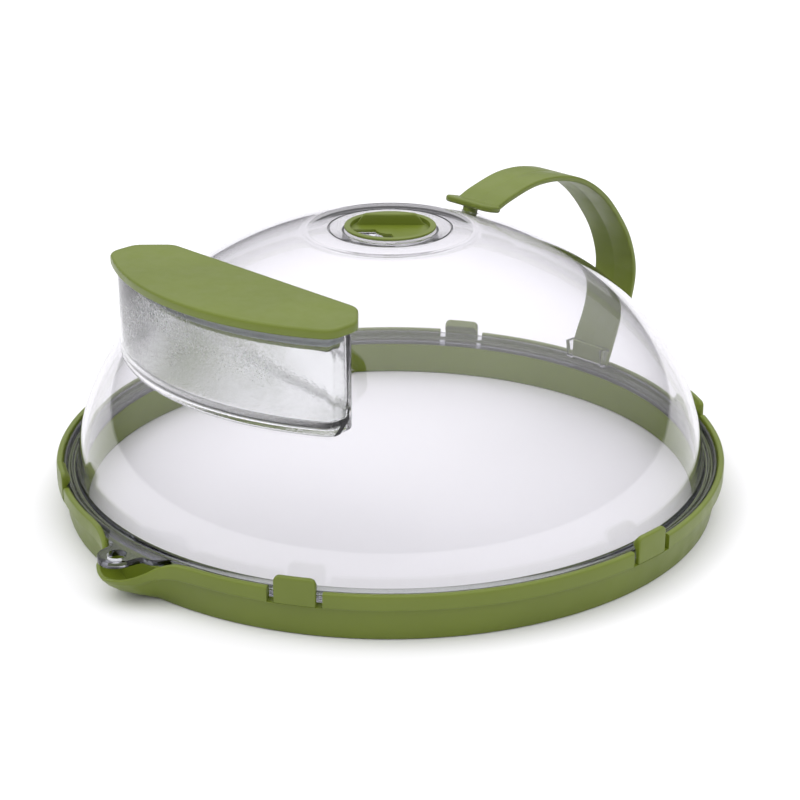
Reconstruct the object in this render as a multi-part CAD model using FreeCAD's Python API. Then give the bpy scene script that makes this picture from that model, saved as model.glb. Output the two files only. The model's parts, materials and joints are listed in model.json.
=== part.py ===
import FreeCAD, Part
import math
import os

Vector = FreeCAD.Vector
UP = Vector(0, 0, 1)

# A clear domed food cover on a green base ring. The table is z = 0 and the dome axis is Z.
# The water tank, the hanging lug and the ring's ear are on the -Y side, the strap on the +Y side.

# ---- base ring
BAND_R = 130.0          # outer radius of the upper band, the widest round of the cover
BAND_WALL = 2.4
BAND_Z = 12.7           # underside of the band's step
RIM_Z = 18.5
RIM_ROUND = 0.9
STEP_INSET = 1.6        # outer wall under the band, in from the band
FOOT_INSET = 3.7        # outer wall at the table, in from the band
OUTER_WALL = 2.0
INNER_WALL = 2.0
SHELF_Z = 13.1          # top of the shelf that carries the dome
SHELF_T = 1.8

# ---- clips, tongues of the band
CLIP_COUNT = 6
CLIP_W = 15.0
CLIP_SLOT = 2.4
CLIP_RISE = 4.7         # above the rim
CLIP_ROOT_Z = 12.9      # height of the bending line
CLIP_T = 2.0
CLIP_SEAT_GAP = 0.05    # between the clip and the floor of its slot
CLIP_HOOK = 0.6         # how far the hook reaches over the flange
CLIP_HOOK_UNDER = 1.2   # from the flange's top to the foot of the hook's ramp
CLIP_HOOK_RAMP = 1.7
CLIP_HOOK_LAND = 0.7
CLIP_CORNER = 1.6
CLIP_ROUND = 0.7

# ---- ear of the ring, an open scoop below the hanging lug
EAR_OUT = 3.4           # centre of the nose beyond the band
EAR_NOSE_R = 10.2
EAR_HALF = 27.0         # half width where the ear leaves the band
EAR_WALL = 1.8
EAR_FLOOR = 1.6
EAR_FLARE = 12.0        # how strongly the ear's side follows the band where it leaves it
EAR_TURN = 25.0         # where the round nose ends, in degrees
EAR_WAIST = (-2.6, 0.6)     # middle of the side, from the middle between its ends
# Upper edge: out from the band, height above the rim. Underside: out from the band, height above the table.
EAR_RIM = [(-0.6, 0.0), (1.6, -1.1), (4.2, -4.6), (8.5, -6.5), (15.0, -7.9)]
EAR_KEEL = [(-12.0, 0.0), (-3.4, 0.0), (1.7, 1.7), (6.9, 4.2), (12.1, 8.4), (15.0, 9.8)]
EAR_FRONT = [(27.0, 12.7), (18.0, 7.4), (9.0, 2.4), (0.0, 0.0)]     # half width, height above the table

# ---- dome
DOME_H = 96.3           # height of the formula's crown above the flange seat
DOME_POWER = 1.94
DOME_T = 2.0
SEAT_GAP = 0.3          # between shelf and flange
FLANGE_W = 5.25
FLANGE_GAP = 0.35       # between flange edge and band
FLANGE_H = 4.3
FLANGE_T = 2.0
LIP_W = 1.4             # upright lip at the flange's edge
RIDGE_FROM = 2.6        # low ridge, in from the flange's edge
RIDGE_TO = 3.4
RIDGE_H = 1.0
FLANGE_FOOT = 0.9       # slope between the flange and the dome's wall
DOME_R = BAND_R - BAND_WALL - FLANGE_GAP - FLANGE_W     # where the wall meets the flange
BORE_R = DOME_R - DOME_T                                # the ring's bore carries on the dome's inner wall

# ---- vent on the crown
PLATEAU_R = 31.5
PLATEAU_SLOPE = 3.5
PLATEAU_RISE = 0.9
GROOVE_R = 23.3
GROOVE_DEPTH = 0.35
WELL_R = 16.0
WELL_DEPTH = 2.1
WELL_FLOOR = 1.6
VENT_INNER_R = 5.4
VENT_OUTER_R = 13.6
VENT_FROM = -45.0       # sector in degrees from the -Y side, towards +X
VENT_TO = 52.0
PIN_R = 2.9
PIN_CLEAR = 0.06
PIN_HEAD_OVER = 0.8
PIN_HEAD_H = 1.6
PIN_HEAD_GAP = 0.3

# ---- vent knob
KNOB_OVER = 1.4         # rim beyond the well
KNOB_RIM_W = 2.4
KNOB_RIM_T = 0.9
KNOB_FLOOR_T = 1.1
KNOB_GAP = 0.25
KNOB_WALL_GAP = 0.4
KNOB_ROUND = 0.4
GRIP_OFFSET = 5.6
GRIP_BASE_HALF = 13.6
GRIP_TOP_HALF = 10.0
GRIP_H = 4.2
GRIP_T = 4.2
GRIP_TURN = 44.3        # turn of the grip wall about the axis

# ---- water tank
TANK_SETBACK = 18.7     # outer wall in from the dome's foot, concentric with it
TANK_Y = 67.2           # outer face of the straight wall
TANK_DROP = 6.0         # tank's top below the crown
TANK_DEPTH = 33.6       # from the top down to the floor's underside
TANK_SKIRT = 2.5        # walls carried on below the floor
TANK_T = 2.0
TANK_HALF = 57.0        # half width at the side walls
TANK_CHAMFER = 9.5
TANK_CORNER = 5.0
STEAM_X = -23.5
STEAM_UP = 12.6         # centre of the steam hole above the floor
STEAM_W = 12.0
STEAM_H = 8.0

# ---- tank lid and its seal
LID_OVER = 2.2
LID_T = 3.6
LID_GAP = 0.15
LID_CHAMFER = 0.9
PLUG_DEPTH = 6.4
PLUG_GAP = 1.6
PLUG_SHOULDER = 0.9
PLUG_FLANGE = 1.8
SEAL_GAP = 0.35
SEAL_SEAT = 1.6

# ---- hanging lug on the flange
LUG_OUT = 6.5           # centre of the hole beyond the band
LUG_BOSS_R = 7.0
LUG_HOLE_R = 3.5
LUG_ROOT_HALF = 17.0
LUG_T = 2.4
LUG_DROP = 0.5          # top of the lug below the rim
LUG_WAIST = (-0.6, 1.0)     # middle of the flared side, from the middle between its ends

# ---- strap and its pocket
STRAP_W = 21.0
STRAP_T = 2.4
LINKS = 9
LINK_GAP = 0.5
FOOT_L = 9.0
HEAD_L = 7.0
STRAP_FOOT_UP = 0.8     # lower end of the strap above the rim
STRAP_CLEAR = 0.25      # between the strap and the pocket
STRAP_END_OUT = 6.1     # end of the strap beyond the peg, along Y
STRAP_END_UP = 2.0
# Shape of the strap between its foot (0, 0) and its upper end (1, 1): share inwards, share upwards.
STRAP_SHAPE = [(0.0, 0.0), (-0.012, 0.08), (-0.134, 0.325), (-0.147, 0.467), (-0.012, 0.733), (0.262, 0.968),
               (0.54, 1.055), (0.815, 1.053), (1.0, 1.0)]
PEG_AT = 44.5           # distance of the peg from the dome axis
PEG_R = 2.95
PEG_HOLE_GAP = 0.55
PEG_TILT = 15.0
PEG_STAND = 1.9         # tab above the dome
PEG_BELOW = 0.3
TAB_W = 24.6
TAB_L = 9.6
TAB_T = 2.5
PLATE_W = 16.0
PLATE_T = 1.3
PLATE_H = 7.7
PLATE_UP = 0.9          # plate above the flange
NECK_W = 6.0
NECK_INSET = 1.4
POCKET_WALL = 1.9
POCKET_T = 1.5
POCKET_GAP = 0.3

EPS = 0.01


# ---------------------------------------------------------------- helpers
def ring_profile(points):
    """Solid of revolution about Z from (radius, height) points."""
    pts = [Vector(r, 0, z) for r, z in points]
    face = Part.Face(Part.makePolygon(pts + [pts[0]]))
    return face.revolve(Vector(0, 0, 0), UP, 360)


def prism(points, low, high):
    """Straight prism over (x, y) points."""
    pts = [Vector(x, y, low) for x, y in points]
    return Part.Face(Part.makePolygon(pts + [pts[0]])).extrude(Vector(0, 0, high - low))


def side_prism(points, half):
    """Prism along X over (y, z) points, as wide as twice half."""
    pts = [Vector(-half, y, z) for y, z in points]
    return Part.Face(Part.makePolygon(pts + [pts[0]])).extrude(Vector(2 * half, 0, 0))


def cylinder(r, low, high, x=0.0, y=0.0):
    return Part.makeCylinder(r, high - low, Vector(x, y, low))


def box(x0, x1, y0, y1, z0, z1):
    return Part.makeBox(x1 - x0, y1 - y0, z1 - z0, Vector(x0, y0, z0))


def turned(shape, degrees):
    copy = shape.copy()
    copy.rotate(Vector(0, 0, 0), UP, degrees)
    return copy


def sector(r_in, r_out, start, end, low, high):
    """Ring sector; angles in degrees from -Y towards +X."""
    outer = Part.makeCylinder(r_out, high - low, Vector(0, 0, low), UP, end - start)
    inner = Part.makeCylinder(r_in, high - low, Vector(0, 0, low))
    return turned(outer.cut(inner), start - 90.0)


def save(name, shape):
    if not shape.isValid():
        raise RuntimeError(name + " is not a valid solid")
    solid = shape.Solids[0]
    if len(shape.Solids) != 1:
        raise RuntimeError(name + " has " + str(len(shape.Solids)) + " solids")
    print(name, round(solid.Volume, 1))
    solid.exportStep("parts/" + name + ".step")


# ---------------------------------------------------------------- base ring
def clip_angles():
    """Directions of the clips, in degrees from -Y towards +X."""
    return [(i + 0.5) * 360.0 / CLIP_COUNT for i in range(CLIP_COUNT)]


def ear_plan(shrink):
    """Plan of the ear: a round nose with two sides that flare into the band."""
    root_r = BAND_R - shrink
    root_x = EAR_HALF - shrink
    root = Vector(root_x, -math.sqrt(root_r ** 2 - root_x ** 2), 0)
    nose_r = EAR_NOSE_R - shrink
    nose_y = -BAND_R - EAR_OUT
    turn = math.radians(EAR_TURN)
    flank = Vector(nose_r * math.cos(turn), nose_y - nose_r * math.sin(turn), 0)
    side = Part.BSplineCurve()
    waist = (root + flank) * 0.5 + Vector(EAR_WAIST[0], EAR_WAIST[1], 0)
    side.interpolate(Points=[root, waist, flank],
                     InitialTangent=Vector(root.y, -root.x, 0).normalize() * EAR_FLARE,
                     FinalTangent=Vector(-math.sin(turn), -math.cos(turn), 0) * (EAR_FLARE * 2 / 3))
    right = side.toShape()
    left = right.mirror(Vector(0, 0, 0), Vector(1, 0, 0))
    nose = Part.Arc(flank, Vector(0, nose_y - nose_r, 0), Vector(-flank.x, flank.y, 0)).toShape()
    back_y = -BORE_R
    back = Part.makePolygon([root, Vector(root.x, back_y, 0), Vector(-root.x, back_y, 0),
                             Vector(-root.x, root.y, 0)])
    return Part.Face(Part.Wire(Part.__sortEdges__([right, nose, left] + back.Edges)))


def ear_body(shrink, floor):
    """Ear between its hull-shaped underside, raised by floor, and the top of the band."""
    plan = ear_plan(shrink).extrude(Vector(0, 0, RIM_Z))
    keel = [(-BAND_R - out, z + floor) for out, z in EAR_KEEL]
    lid = [(keel[-1][0], RIM_Z + 1.0), (keel[0][0], RIM_Z + 1.0)]
    right = [(x, z + floor) for x, z in EAR_FRONT]
    left = [(-x, z) for x, z in reversed(right[:-1])]
    top = [(-EAR_HALF, RIM_Z + 1.0), (EAR_HALF, RIM_Z + 1.0)]
    front = [Vector(x, 0, z) for x, z in right + left + top]
    face = Part.Face(Part.makePolygon(front + [front[0]]))
    along = face.extrude(Vector(0, -BAND_R - 2 * EAR_OUT - 2 * EAR_NOSE_R, 0))
    return plan.common(side_prism(keel + lid, EAR_HALF + 1.0)).common(along)


def make_ring():
    step_r = BAND_R - STEP_INSET
    foot_r = BAND_R - FOOT_INSET
    channel_top = SHELF_Z - SHELF_T
    channel_r = step_r - OUTER_WALL - 0.2 * (step_r - foot_r)
    section = [(BORE_R, 0), (BORE_R, SHELF_Z), (BAND_R - BAND_WALL, SHELF_Z), (BAND_R - BAND_WALL, RIM_Z),
               (BAND_R - RIM_ROUND, RIM_Z), (BAND_R, RIM_Z - RIM_ROUND), (BAND_R, BAND_Z), (step_r, BAND_Z),
               (foot_r, 0), (foot_r - OUTER_WALL, 0), (channel_r, channel_top),
               (BORE_R + INNER_WALL, channel_top), (BORE_R + INNER_WALL, 0)]
    ring = ring_profile(section)
    channel = ring_profile([(BORE_R, -1), (foot_r - OUTER_WALL, -1), (channel_r, channel_top),
                            (BORE_R, channel_top)])
    rim = [(-BAND_R - out, RIM_Z + rise) for out, rise in EAR_RIM]
    above_rim = rim + [(rim[-1][0], RIM_Z + 2), (rim[0][0], RIM_Z + 2)]
    ear = ear_body(0.0, 0.0).cut(channel).cut(cylinder(BORE_R + INNER_WALL, 0, RIM_Z + 1))
    scoop = ear_body(EAR_WALL, EAR_FLOOR).cut(cylinder(step_r, 0, SHELF_Z))
    ring = ring.fuse(ear).cut(scoop).cut(side_prism(above_rim, EAR_HALF))
    ring = ring.cut(cylinder(BAND_R - BAND_WALL, SHELF_Z, RIM_Z + 1))
    for angle in clip_angles():
        half = CLIP_W / 2 + CLIP_SLOT
        slot = box(-half, half, -BAND_R - 2, -BAND_R + BAND_WALL + 0.6, CLIP_ROOT_Z, RIM_Z + 1)
        ring = ring.cut(turned(slot, angle))
    return ring.removeSplitter()


def make_clip(angle):
    inner = BAND_R - CLIP_T
    hook = flange_edge() - CLIP_HOOK
    low = CLIP_ROOT_Z + CLIP_SEAT_GAP
    under = flange_top() + CLIP_HOOK_UNDER
    tip = under + CLIP_HOOK_RAMP
    clip_top = RIM_Z + CLIP_RISE
    section = [(inner, low), (inner, under), (hook, tip), (hook, tip + CLIP_HOOK_LAND), (inner + 0.3, clip_top),
               (BAND_R - CLIP_ROUND, clip_top), (BAND_R, clip_top - CLIP_ROUND), (BAND_R, low)]
    body = ring_profile(section)
    half = CLIP_W / 2
    face = [(-half, 0), (half, 0), (half, clip_top - CLIP_CORNER), (half - CLIP_CORNER, clip_top),
            (-half + CLIP_CORNER, clip_top), (-half, clip_top - CLIP_CORNER)]
    pts = [Vector(x, -BAND_R - 3, z) for x, z in face]
    window = Part.Face(Part.makePolygon(pts + [pts[0]])).extrude(Vector(0, 10, 0))
    return turned(body.common(window), angle)


# ---------------------------------------------------------------- dome
def seat_z():
    return SHELF_Z + SEAT_GAP


def dome_point(t, inset=0.0):
    """Point of the dome's profile: a superellipse from the flange (t = 0) to the crown (t = 90)."""
    a = math.radians(t)
    power = 2.0 / DOME_POWER
    r = (DOME_R - inset) * math.cos(a) ** power
    z = seat_z() + (DOME_H - inset) * math.sin(a) ** power
    return r, z


def dome_height(r, inset=0.0):
    """Height of the dome's surface at radius r."""
    ratio = r / (DOME_R - inset)
    return seat_z() + (DOME_H - inset) * (1.0 - ratio ** DOME_POWER) ** (1.0 / DOME_POWER)


def dome_curve(inset, r_end):
    """Smooth profile edge from the flange up to radius r_end."""
    t_end = math.degrees(math.acos((r_end / (DOME_R - inset)) ** (DOME_POWER / 2.0)))
    pts = [dome_point(t, inset) for t in [t_end * k / 10.0 for k in range(11)]]
    curve = Part.BSplineCurve()
    curve.interpolate([Vector(r, 0, z) for r, z in pts])
    return curve.toShape(), pts[0], pts[-1]


def tank_plan(grow):
    """Plan of the tank: an arc on the dome axis, a straight wall and two chamfered corners."""
    r = DOME_R - TANK_SETBACK + grow
    y = -TANK_Y + grow
    half = TANK_HALF + grow
    cut = TANK_CHAMFER + 0.4 * grow
    low_y = -math.sqrt(r ** 2 - half ** 2)
    wire = Part.Wire([
        Part.Arc(Vector(-half, low_y, 0), Vector(0, -r, 0), Vector(half, low_y, 0)).toShape(),
        Part.makeLine(Vector(half, low_y, 0), Vector(half, y - cut, 0)),
        Part.makeLine(Vector(half, y - cut, 0), Vector(half - cut, y, 0)),
        Part.makeLine(Vector(half - cut, y, 0), Vector(-half + cut, y, 0)),
        Part.makeLine(Vector(-half + cut, y, 0), Vector(-half, y - cut, 0)),
        Part.makeLine(Vector(-half, y - cut, 0), Vector(-half, low_y, 0))])
    return Part.Face(wire)


def tank_block(grow, low, high, rounding):
    block = tank_plan(grow).extrude(Vector(0, 0, high - low))
    upright = [e for e in block.Edges if abs(e.tangentAt(e.FirstParameter).z) > 0.99]
    block = block.makeFillet(rounding, upright)
    block.translate(Vector(0, 0, low))
    return block


def crown_z():
    """Height of the flat crown."""
    return dome_height(PLATEAU_R + PLATEAU_SLOPE) + PLATEAU_RISE


def make_dome():
    outer, outer_low, outer_high = dome_curve(0.0, PLATEAU_R + PLATEAU_SLOPE)
    inner, inner_low, inner_high = dome_curve(DOME_T, PLATEAU_R)
    crown = crown_z()
    under = crown - DOME_T
    well_z = crown - WELL_DEPTH
    low = well_z - WELL_FLOOR
    hole = PIN_R + PIN_CLEAR
    top = [outer_high, (PLATEAU_R + 0.35 * PLATEAU_SLOPE, crown - 0.3 * PLATEAU_RISE), (PLATEAU_R, crown),
           (GROOVE_R + GROOVE_DEPTH, crown), (GROOVE_R, crown - GROOVE_DEPTH), (GROOVE_R - GROOVE_DEPTH, crown),
           (WELL_R, crown), (WELL_R, well_z),
           (hole, well_z), (hole, low), (WELL_R + DOME_T, low), (WELL_R + DOME_T, under), inner_high]
    edges = [outer, inner]
    for first, second in zip(top[:-1], top[1:]):
        if math.dist(first, second) > 1e-6:
            edges.append(Part.makeLine(Vector(first[0], 0, first[1]), Vector(second[0], 0, second[1])))
    edges.append(Part.makeLine(Vector(inner_low[0], 0, inner_low[1]), Vector(outer_low[0], 0, outer_low[1])))
    wire = Part.Wire(Part.__sortEdges__(edges))
    dome = Part.Face(wire).revolve(Vector(0, 0, 0), UP, 360)
    opening = sector(VENT_INNER_R, VENT_OUTER_R, VENT_FROM, VENT_TO, low - 1, well_z + 1)
    dome = dome.cut(opening)
    dome = dome.cut(tank_block(0.0, tank_foot(), tank_top() + 20, TANK_CORNER))
    dome = dome.cut(peg_cylinder(PEG_R + PEG_HOLE_GAP, -12.0, 12.0))
    return dome.Solids[0] if len(dome.Solids) == 1 else max(dome.Solids, key=lambda s: s.Volume)


def dome_solid():
    """The dome's outer shape with nothing hollow, up to well above the flange."""
    curve = Part.BSplineCurve()
    curve.interpolate([Vector(r, 0, z) for r, z in [dome_point(t) for t in range(0, 31, 3)]])
    low = curve.StartPoint
    high = curve.EndPoint
    foot_z = low.z - FLANGE_H
    rest = Part.makePolygon([low, Vector(low.x, 0, foot_z), Vector(0, 0, foot_z), Vector(0, 0, high.z), high])
    wire = Part.Wire(Part.__sortEdges__([curve.toShape()] + rest.Edges))
    return Part.Face(wire).revolve(Vector(0, 0, 0), UP, 360)


def flange_edge():
    return BAND_R - BAND_WALL - FLANGE_GAP


def flange_top():
    return seat_z() + FLANGE_H


def make_flange():
    low = seat_z()
    outer = flange_edge()
    ridge = low + FLANGE_T
    top = flange_top()
    profile = [(DOME_R - DOME_T / 2, low), (outer, low), (outer, top), (outer - LIP_W, top),
               (outer - LIP_W, ridge), (outer - RIDGE_FROM, ridge), (outer - RIDGE_FROM, ridge + RIDGE_H),
               (outer - RIDGE_TO, ridge + RIDGE_H), (outer - RIDGE_TO, ridge), (DOME_R + FLANGE_FOOT, ridge),
               (DOME_R, top), (DOME_R - DOME_T / 2, top)]
    flange = ring_profile(profile).cut(dome_solid())
    return flange.fuse(make_lug()).removeSplitter()


def make_lug():
    """Flat tab with a round hole, flared where it leaves the flange."""
    lug_y = -BAND_R - LUG_OUT
    root_y = -math.sqrt(flange_edge() ** 2 - LUG_ROOT_HALF ** 2) + 0.6
    side_a = Vector(LUG_ROOT_HALF, root_y, 0)
    side_b = Vector(LUG_BOSS_R + 1.6, lug_y + LUG_BOSS_R * 0.55, 0)
    side_c = Vector(LUG_BOSS_R, lug_y, 0)
    curve = Part.BSplineCurve()
    waist = (side_a + side_b) * 0.5 + Vector(LUG_WAIST[0], LUG_WAIST[1], 0)
    curve.interpolate([side_a, waist, side_b, side_c])
    right = curve.toShape()
    left = right.mirror(Vector(0, 0, 0), Vector(1, 0, 0))
    nose = Part.Arc(side_c, Vector(0, lug_y - LUG_BOSS_R, 0), Vector(-side_c.x, side_c.y, 0)).toShape()
    back = Part.Arc(Vector(-side_a.x, side_a.y, 0), Vector(0, -flange_edge() + 1.0, 0), side_a).toShape()
    wire = Part.Wire(Part.__sortEdges__([right, nose, left, back]))
    lug = Part.Face(wire).extrude(Vector(0, 0, LUG_T))
    lug.translate(Vector(0, 0, RIM_Z - LUG_DROP - LUG_T))
    return lug.cut(cylinder(LUG_HOLE_R, 0, 2 * RIM_Z, 0, lug_y))


def tank_top():
    return crown_z() - TANK_DROP


def tank_foot():
    return tank_top() - TANK_DEPTH - TANK_SKIRT


def make_tank():
    floor = tank_top() - TANK_DEPTH
    shell = tank_block(0.0, tank_foot(), tank_top(), TANK_CORNER)
    inside = tank_block(-TANK_T, floor + TANK_T, tank_top() + 1, TANK_CORNER - TANK_T)
    under = tank_block(-TANK_T, tank_foot() - 1, floor, TANK_CORNER - TANK_T)
    tank = shell.cut(inside).cut(under)
    steam = Part.makeCylinder(STEAM_H / 2, 3 * TANK_T, Vector(0, 0, 0), Vector(0, 1, 0))
    grow = FreeCAD.Matrix()
    grow.scale(STEAM_W / STEAM_H, 1.0, 1.0)
    steam = steam.transformGeometry(grow)
    steam.translate(Vector(STEAM_X, -TANK_Y - 2 * TANK_T, floor + TANK_T + STEAM_UP))
    return tank.cut(steam)


# ---------------------------------------------------------------- tank lid and seal
def plug_bottom():
    return tank_top() + LID_GAP - PLUG_DEPTH


def make_lid():
    low = tank_top() + LID_GAP
    plate = tank_block(LID_OVER, low, low + LID_T, TANK_CORNER + LID_OVER)
    rim = [e for e in plate.Edges if e.BoundBox.ZMin > low + LID_T - EPS]
    plate = plate.makeChamfer(LID_CHAMFER, rim)
    inset = -TANK_T - PLUG_GAP
    core = tank_block(inset - SEAL_SEAT, plug_bottom(), low + 0.2, TANK_CORNER - TANK_T)
    shoulder = tank_block(inset, low - PLUG_SHOULDER, low + 0.2, TANK_CORNER - TANK_T)
    foot = tank_block(inset, plug_bottom(), plug_bottom() + PLUG_FLANGE, TANK_CORNER - TANK_T)
    return plate.fuse([core, shoulder, foot]).removeSplitter()


def make_seal():
    low = plug_bottom() + PLUG_FLANGE
    high = tank_top() + LID_GAP - PLUG_SHOULDER
    inset = -TANK_T - PLUG_GAP
    outer = tank_block(-TANK_T - SEAL_GAP, low, high, TANK_CORNER - TANK_T)
    return outer.cut(tank_block(inset - SEAL_SEAT, low - 1, high + 1, TANK_CORNER - TANK_T))


# ---------------------------------------------------------------- vent knob
def make_knob():
    crown = crown_z()
    knob_r = WELL_R + KNOB_OVER
    rim_low = crown + KNOB_GAP
    rim_top = rim_low + KNOB_RIM_T
    cup_r = WELL_R - KNOB_WALL_GAP
    floor_low = crown - WELL_DEPTH + KNOB_GAP
    floor_top = floor_low + KNOB_FLOOR_T
    pin_low = crown - WELL_DEPTH - WELL_FLOOR - PIN_HEAD_GAP
    inner_r = knob_r - KNOB_RIM_W
    tip = pin_low - PIN_HEAD_H
    profile = [(0, floor_top), (0, tip), (PIN_R - PIN_HEAD_OVER, tip), (PIN_R + PIN_HEAD_OVER, pin_low),
               (PIN_R, pin_low), (PIN_R, floor_low), (cup_r, floor_low), (cup_r, rim_low), (knob_r, rim_low),
               (knob_r, rim_top - KNOB_ROUND), (knob_r - KNOB_ROUND, rim_top), (inner_r, rim_top),
               (inner_r, floor_top)]
    knob = ring_profile(profile)
    opening = sector(VENT_INNER_R, inner_r - EPS, VENT_FROM, VENT_TO, floor_low - 1, floor_top + 1)
    knob = knob.cut(opening)
    face_y = GRIP_OFFSET
    bow_r = (GRIP_BASE_HALF ** 2 + GRIP_T ** 2) / (2 * GRIP_T)
    back = cylinder(bow_r, floor_top - EPS, rim_top + GRIP_H, 0, face_y + GRIP_T - bow_r)
    grip = back.common(box(-40, 40, face_y, face_y + 20, 0, 200))
    high = floor_top + GRIP_H
    pts = [Vector(-GRIP_BASE_HALF, -20, floor_top - EPS), Vector(GRIP_BASE_HALF, -20, floor_top - EPS),
           Vector(GRIP_TOP_HALF, -20, high), Vector(-GRIP_TOP_HALF, -20, high)]
    trapezoid = Part.Face(Part.makePolygon(pts + [pts[0]])).extrude(Vector(0, 60, 0))
    grip = turned(grip.common(trapezoid), GRIP_TURN)
    return knob.fuse(grip).removeSplitter()


# ---------------------------------------------------------------- strap
def peg_axis():
    tilt = math.radians(PEG_TILT)
    return Vector(0, math.sin(tilt), math.cos(tilt))


def peg_foot():
    """Where the peg's axis meets the dome's outer surface."""
    return Vector(0, PEG_AT, dome_height(PEG_AT))


def peg_cylinder(r, low, high):
    return Part.makeCylinder(r, high - low, peg_foot() + peg_axis() * low, peg_axis())


def strap_curve():
    curve = Part.BSplineCurve()
    foot = Vector(0, strap_inner_y() + STRAP_T / 2, RIM_Z + STRAP_FOOT_UP)
    end = peg_foot() + Vector(0, STRAP_END_OUT, STRAP_END_UP)
    span = end - foot
    curve.interpolate([foot + Vector(0, inward * span.y, upward * span.z) for inward, upward in STRAP_SHAPE])
    return curve


def strap_piece(curve, start, end, width=STRAP_W):
    """Slice of the strap between two lengths along its middle line."""
    points = []
    for side in (0.5 * STRAP_T, -0.5 * STRAP_T):
        row = []
        for k in range(4):
            u = curve.parameterAtDistance(start + (end - start) * k / 3.0, curve.FirstParameter)
            along = curve.tangent(u)[0]
            normal = Vector(0, along.z, -along.y)
            row.append(curve.value(u) + normal * side)
        points.append(row)
    edges = []
    for row in points:
        line = Part.BSplineCurve()
        line.interpolate(row)
        edges.append(line.toShape())
    edges.append(Part.makeLine(points[0][0], points[1][0]))
    edges.append(Part.makeLine(points[0][-1], points[1][-1]))
    face = Part.Face(Part.Wire(Part.__sortEdges__(edges)))
    face.translate(Vector(-width / 2, 0, 0))
    return face.extrude(Vector(width, 0, 0))


def make_strap_foot(curve, length):
    """Lowest piece of the strap with the plate that drops into the pocket."""
    strip = strap_piece(curve, 0.0, length)
    plate_y = pocket_inside() + POCKET_GAP
    low = flange_top() + PLATE_UP
    high = low + PLATE_H
    plate = box(-PLATE_W / 2, PLATE_W / 2, plate_y, plate_y + PLATE_T, low, high)
    neck = box(-NECK_W / 2, NECK_W / 2, plate_y + PLATE_T - EPS, strap_inner_y() + STRAP_T / 4,
               low + NECK_INSET, high - NECK_INSET)
    return strip.fuse([plate, neck]).removeSplitter()


def pocket_inside():
    """Distance of the pocket's space from the dome axis."""
    return DOME_R + 0.15


def pocket_outside():
    return pocket_inside() + PLATE_T + 2 * POCKET_GAP + POCKET_T


def strap_inner_y():
    """Distance of the strap's inner face from the dome axis at its foot."""
    return pocket_outside() + STRAP_CLEAR


def make_pocket():
    """Clear open-topped pocket on the flange with a slot for the strap's neck."""
    y0 = pocket_inside() - DOME_T
    y2 = pocket_outside()
    y1 = y2 - POCKET_T
    low = flange_top()
    high = low + PLATE_UP + PLATE_H - POCKET_GAP
    inner = PLATE_W / 2 + POCKET_GAP
    shell = box(-inner - POCKET_WALL, inner + POCKET_WALL, y0, y2, low, high)
    shell = shell.cut(box(-inner, inner, y0 - 1, y1, low - 1, high + 1))
    slot = NECK_W / 2 + POCKET_GAP
    shell = shell.cut(box(-slot, slot, y1 - 1, y2 + 1, low + PLATE_UP, high + 1))
    return shell.cut(dome_solid())


def make_tab(curve, start, end):
    """Wide finger tab at the strap's upper end, with the peg under it."""
    strip = strap_piece(curve, start, end)
    axis = peg_axis()
    low = peg_foot() + axis * PEG_STAND
    corner = TAB_L / 2 - 0.9
    plate = Part.makeBox(TAB_W, TAB_L, TAB_T, Vector(-TAB_W / 2, -TAB_L / 2, 0))
    upright = [e for e in plate.Edges if abs(e.tangentAt(e.FirstParameter).z) > 0.99]
    plate = plate.makeFillet(corner, upright)
    plate.rotate(Vector(0, 0, 0), Vector(1, 0, 0), -PEG_TILT)
    plate.translate(low + Vector(0, 1.0, -math.tan(math.radians(PEG_TILT))))
    peg = peg_cylinder(PEG_R, -DOME_T - PEG_BELOW, PEG_STAND + 1.0)
    return plate.fuse([strip, peg]).removeSplitter()


def build():
    os.makedirs("parts", exist_ok=True)
    save("base_ring", make_ring())
    for number, angle in enumerate(clip_angles(), 1):
        save("clip_" + str(number), make_clip(angle))
    save("dome_shell", make_dome())
    save("dome_flange", make_flange())
    save("water_tank", make_tank())
    save("strap_pocket", make_pocket())
    save("tank_lid", make_lid())
    save("lid_seal", make_seal())
    save("vent_knob", make_knob())
    curve = strap_curve()
    total = curve.length()
    pitch = (total - FOOT_L - HEAD_L) / LINKS
    save("strap_foot", make_strap_foot(curve, FOOT_L))
    for number in range(LINKS):
        start = FOOT_L + number * pitch + LINK_GAP / 2
        save("strap_link_" + str(number + 1), strap_piece(curve, start, start + pitch - LINK_GAP))
    save("strap_tab", make_tab(curve, total - HEAD_L + LINK_GAP / 2, total))


build()
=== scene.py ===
import json
import math
from types import SimpleNamespace

import bmesh
import bpy
import numpy as np
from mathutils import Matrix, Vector


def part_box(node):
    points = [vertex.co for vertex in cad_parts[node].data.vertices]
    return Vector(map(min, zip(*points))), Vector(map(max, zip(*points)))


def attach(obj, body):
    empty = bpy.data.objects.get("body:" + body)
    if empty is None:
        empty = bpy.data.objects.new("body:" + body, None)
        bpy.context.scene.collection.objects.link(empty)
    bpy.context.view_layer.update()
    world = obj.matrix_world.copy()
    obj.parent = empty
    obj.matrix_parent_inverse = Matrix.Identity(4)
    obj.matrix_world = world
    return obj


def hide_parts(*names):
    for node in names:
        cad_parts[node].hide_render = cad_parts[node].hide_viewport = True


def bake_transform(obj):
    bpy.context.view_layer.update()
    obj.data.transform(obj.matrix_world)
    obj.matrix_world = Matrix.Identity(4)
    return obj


bl_info = {
    "name": "Clear food cover",
    "version": (1, 0, 0),
    "blender": (4, 5, 0),
    "location": "View3D > Sidebar > Food cover",
    "description": "Surfaces, finishes and stage for a clear domed food cover",
    "category": "Object",
}

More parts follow.
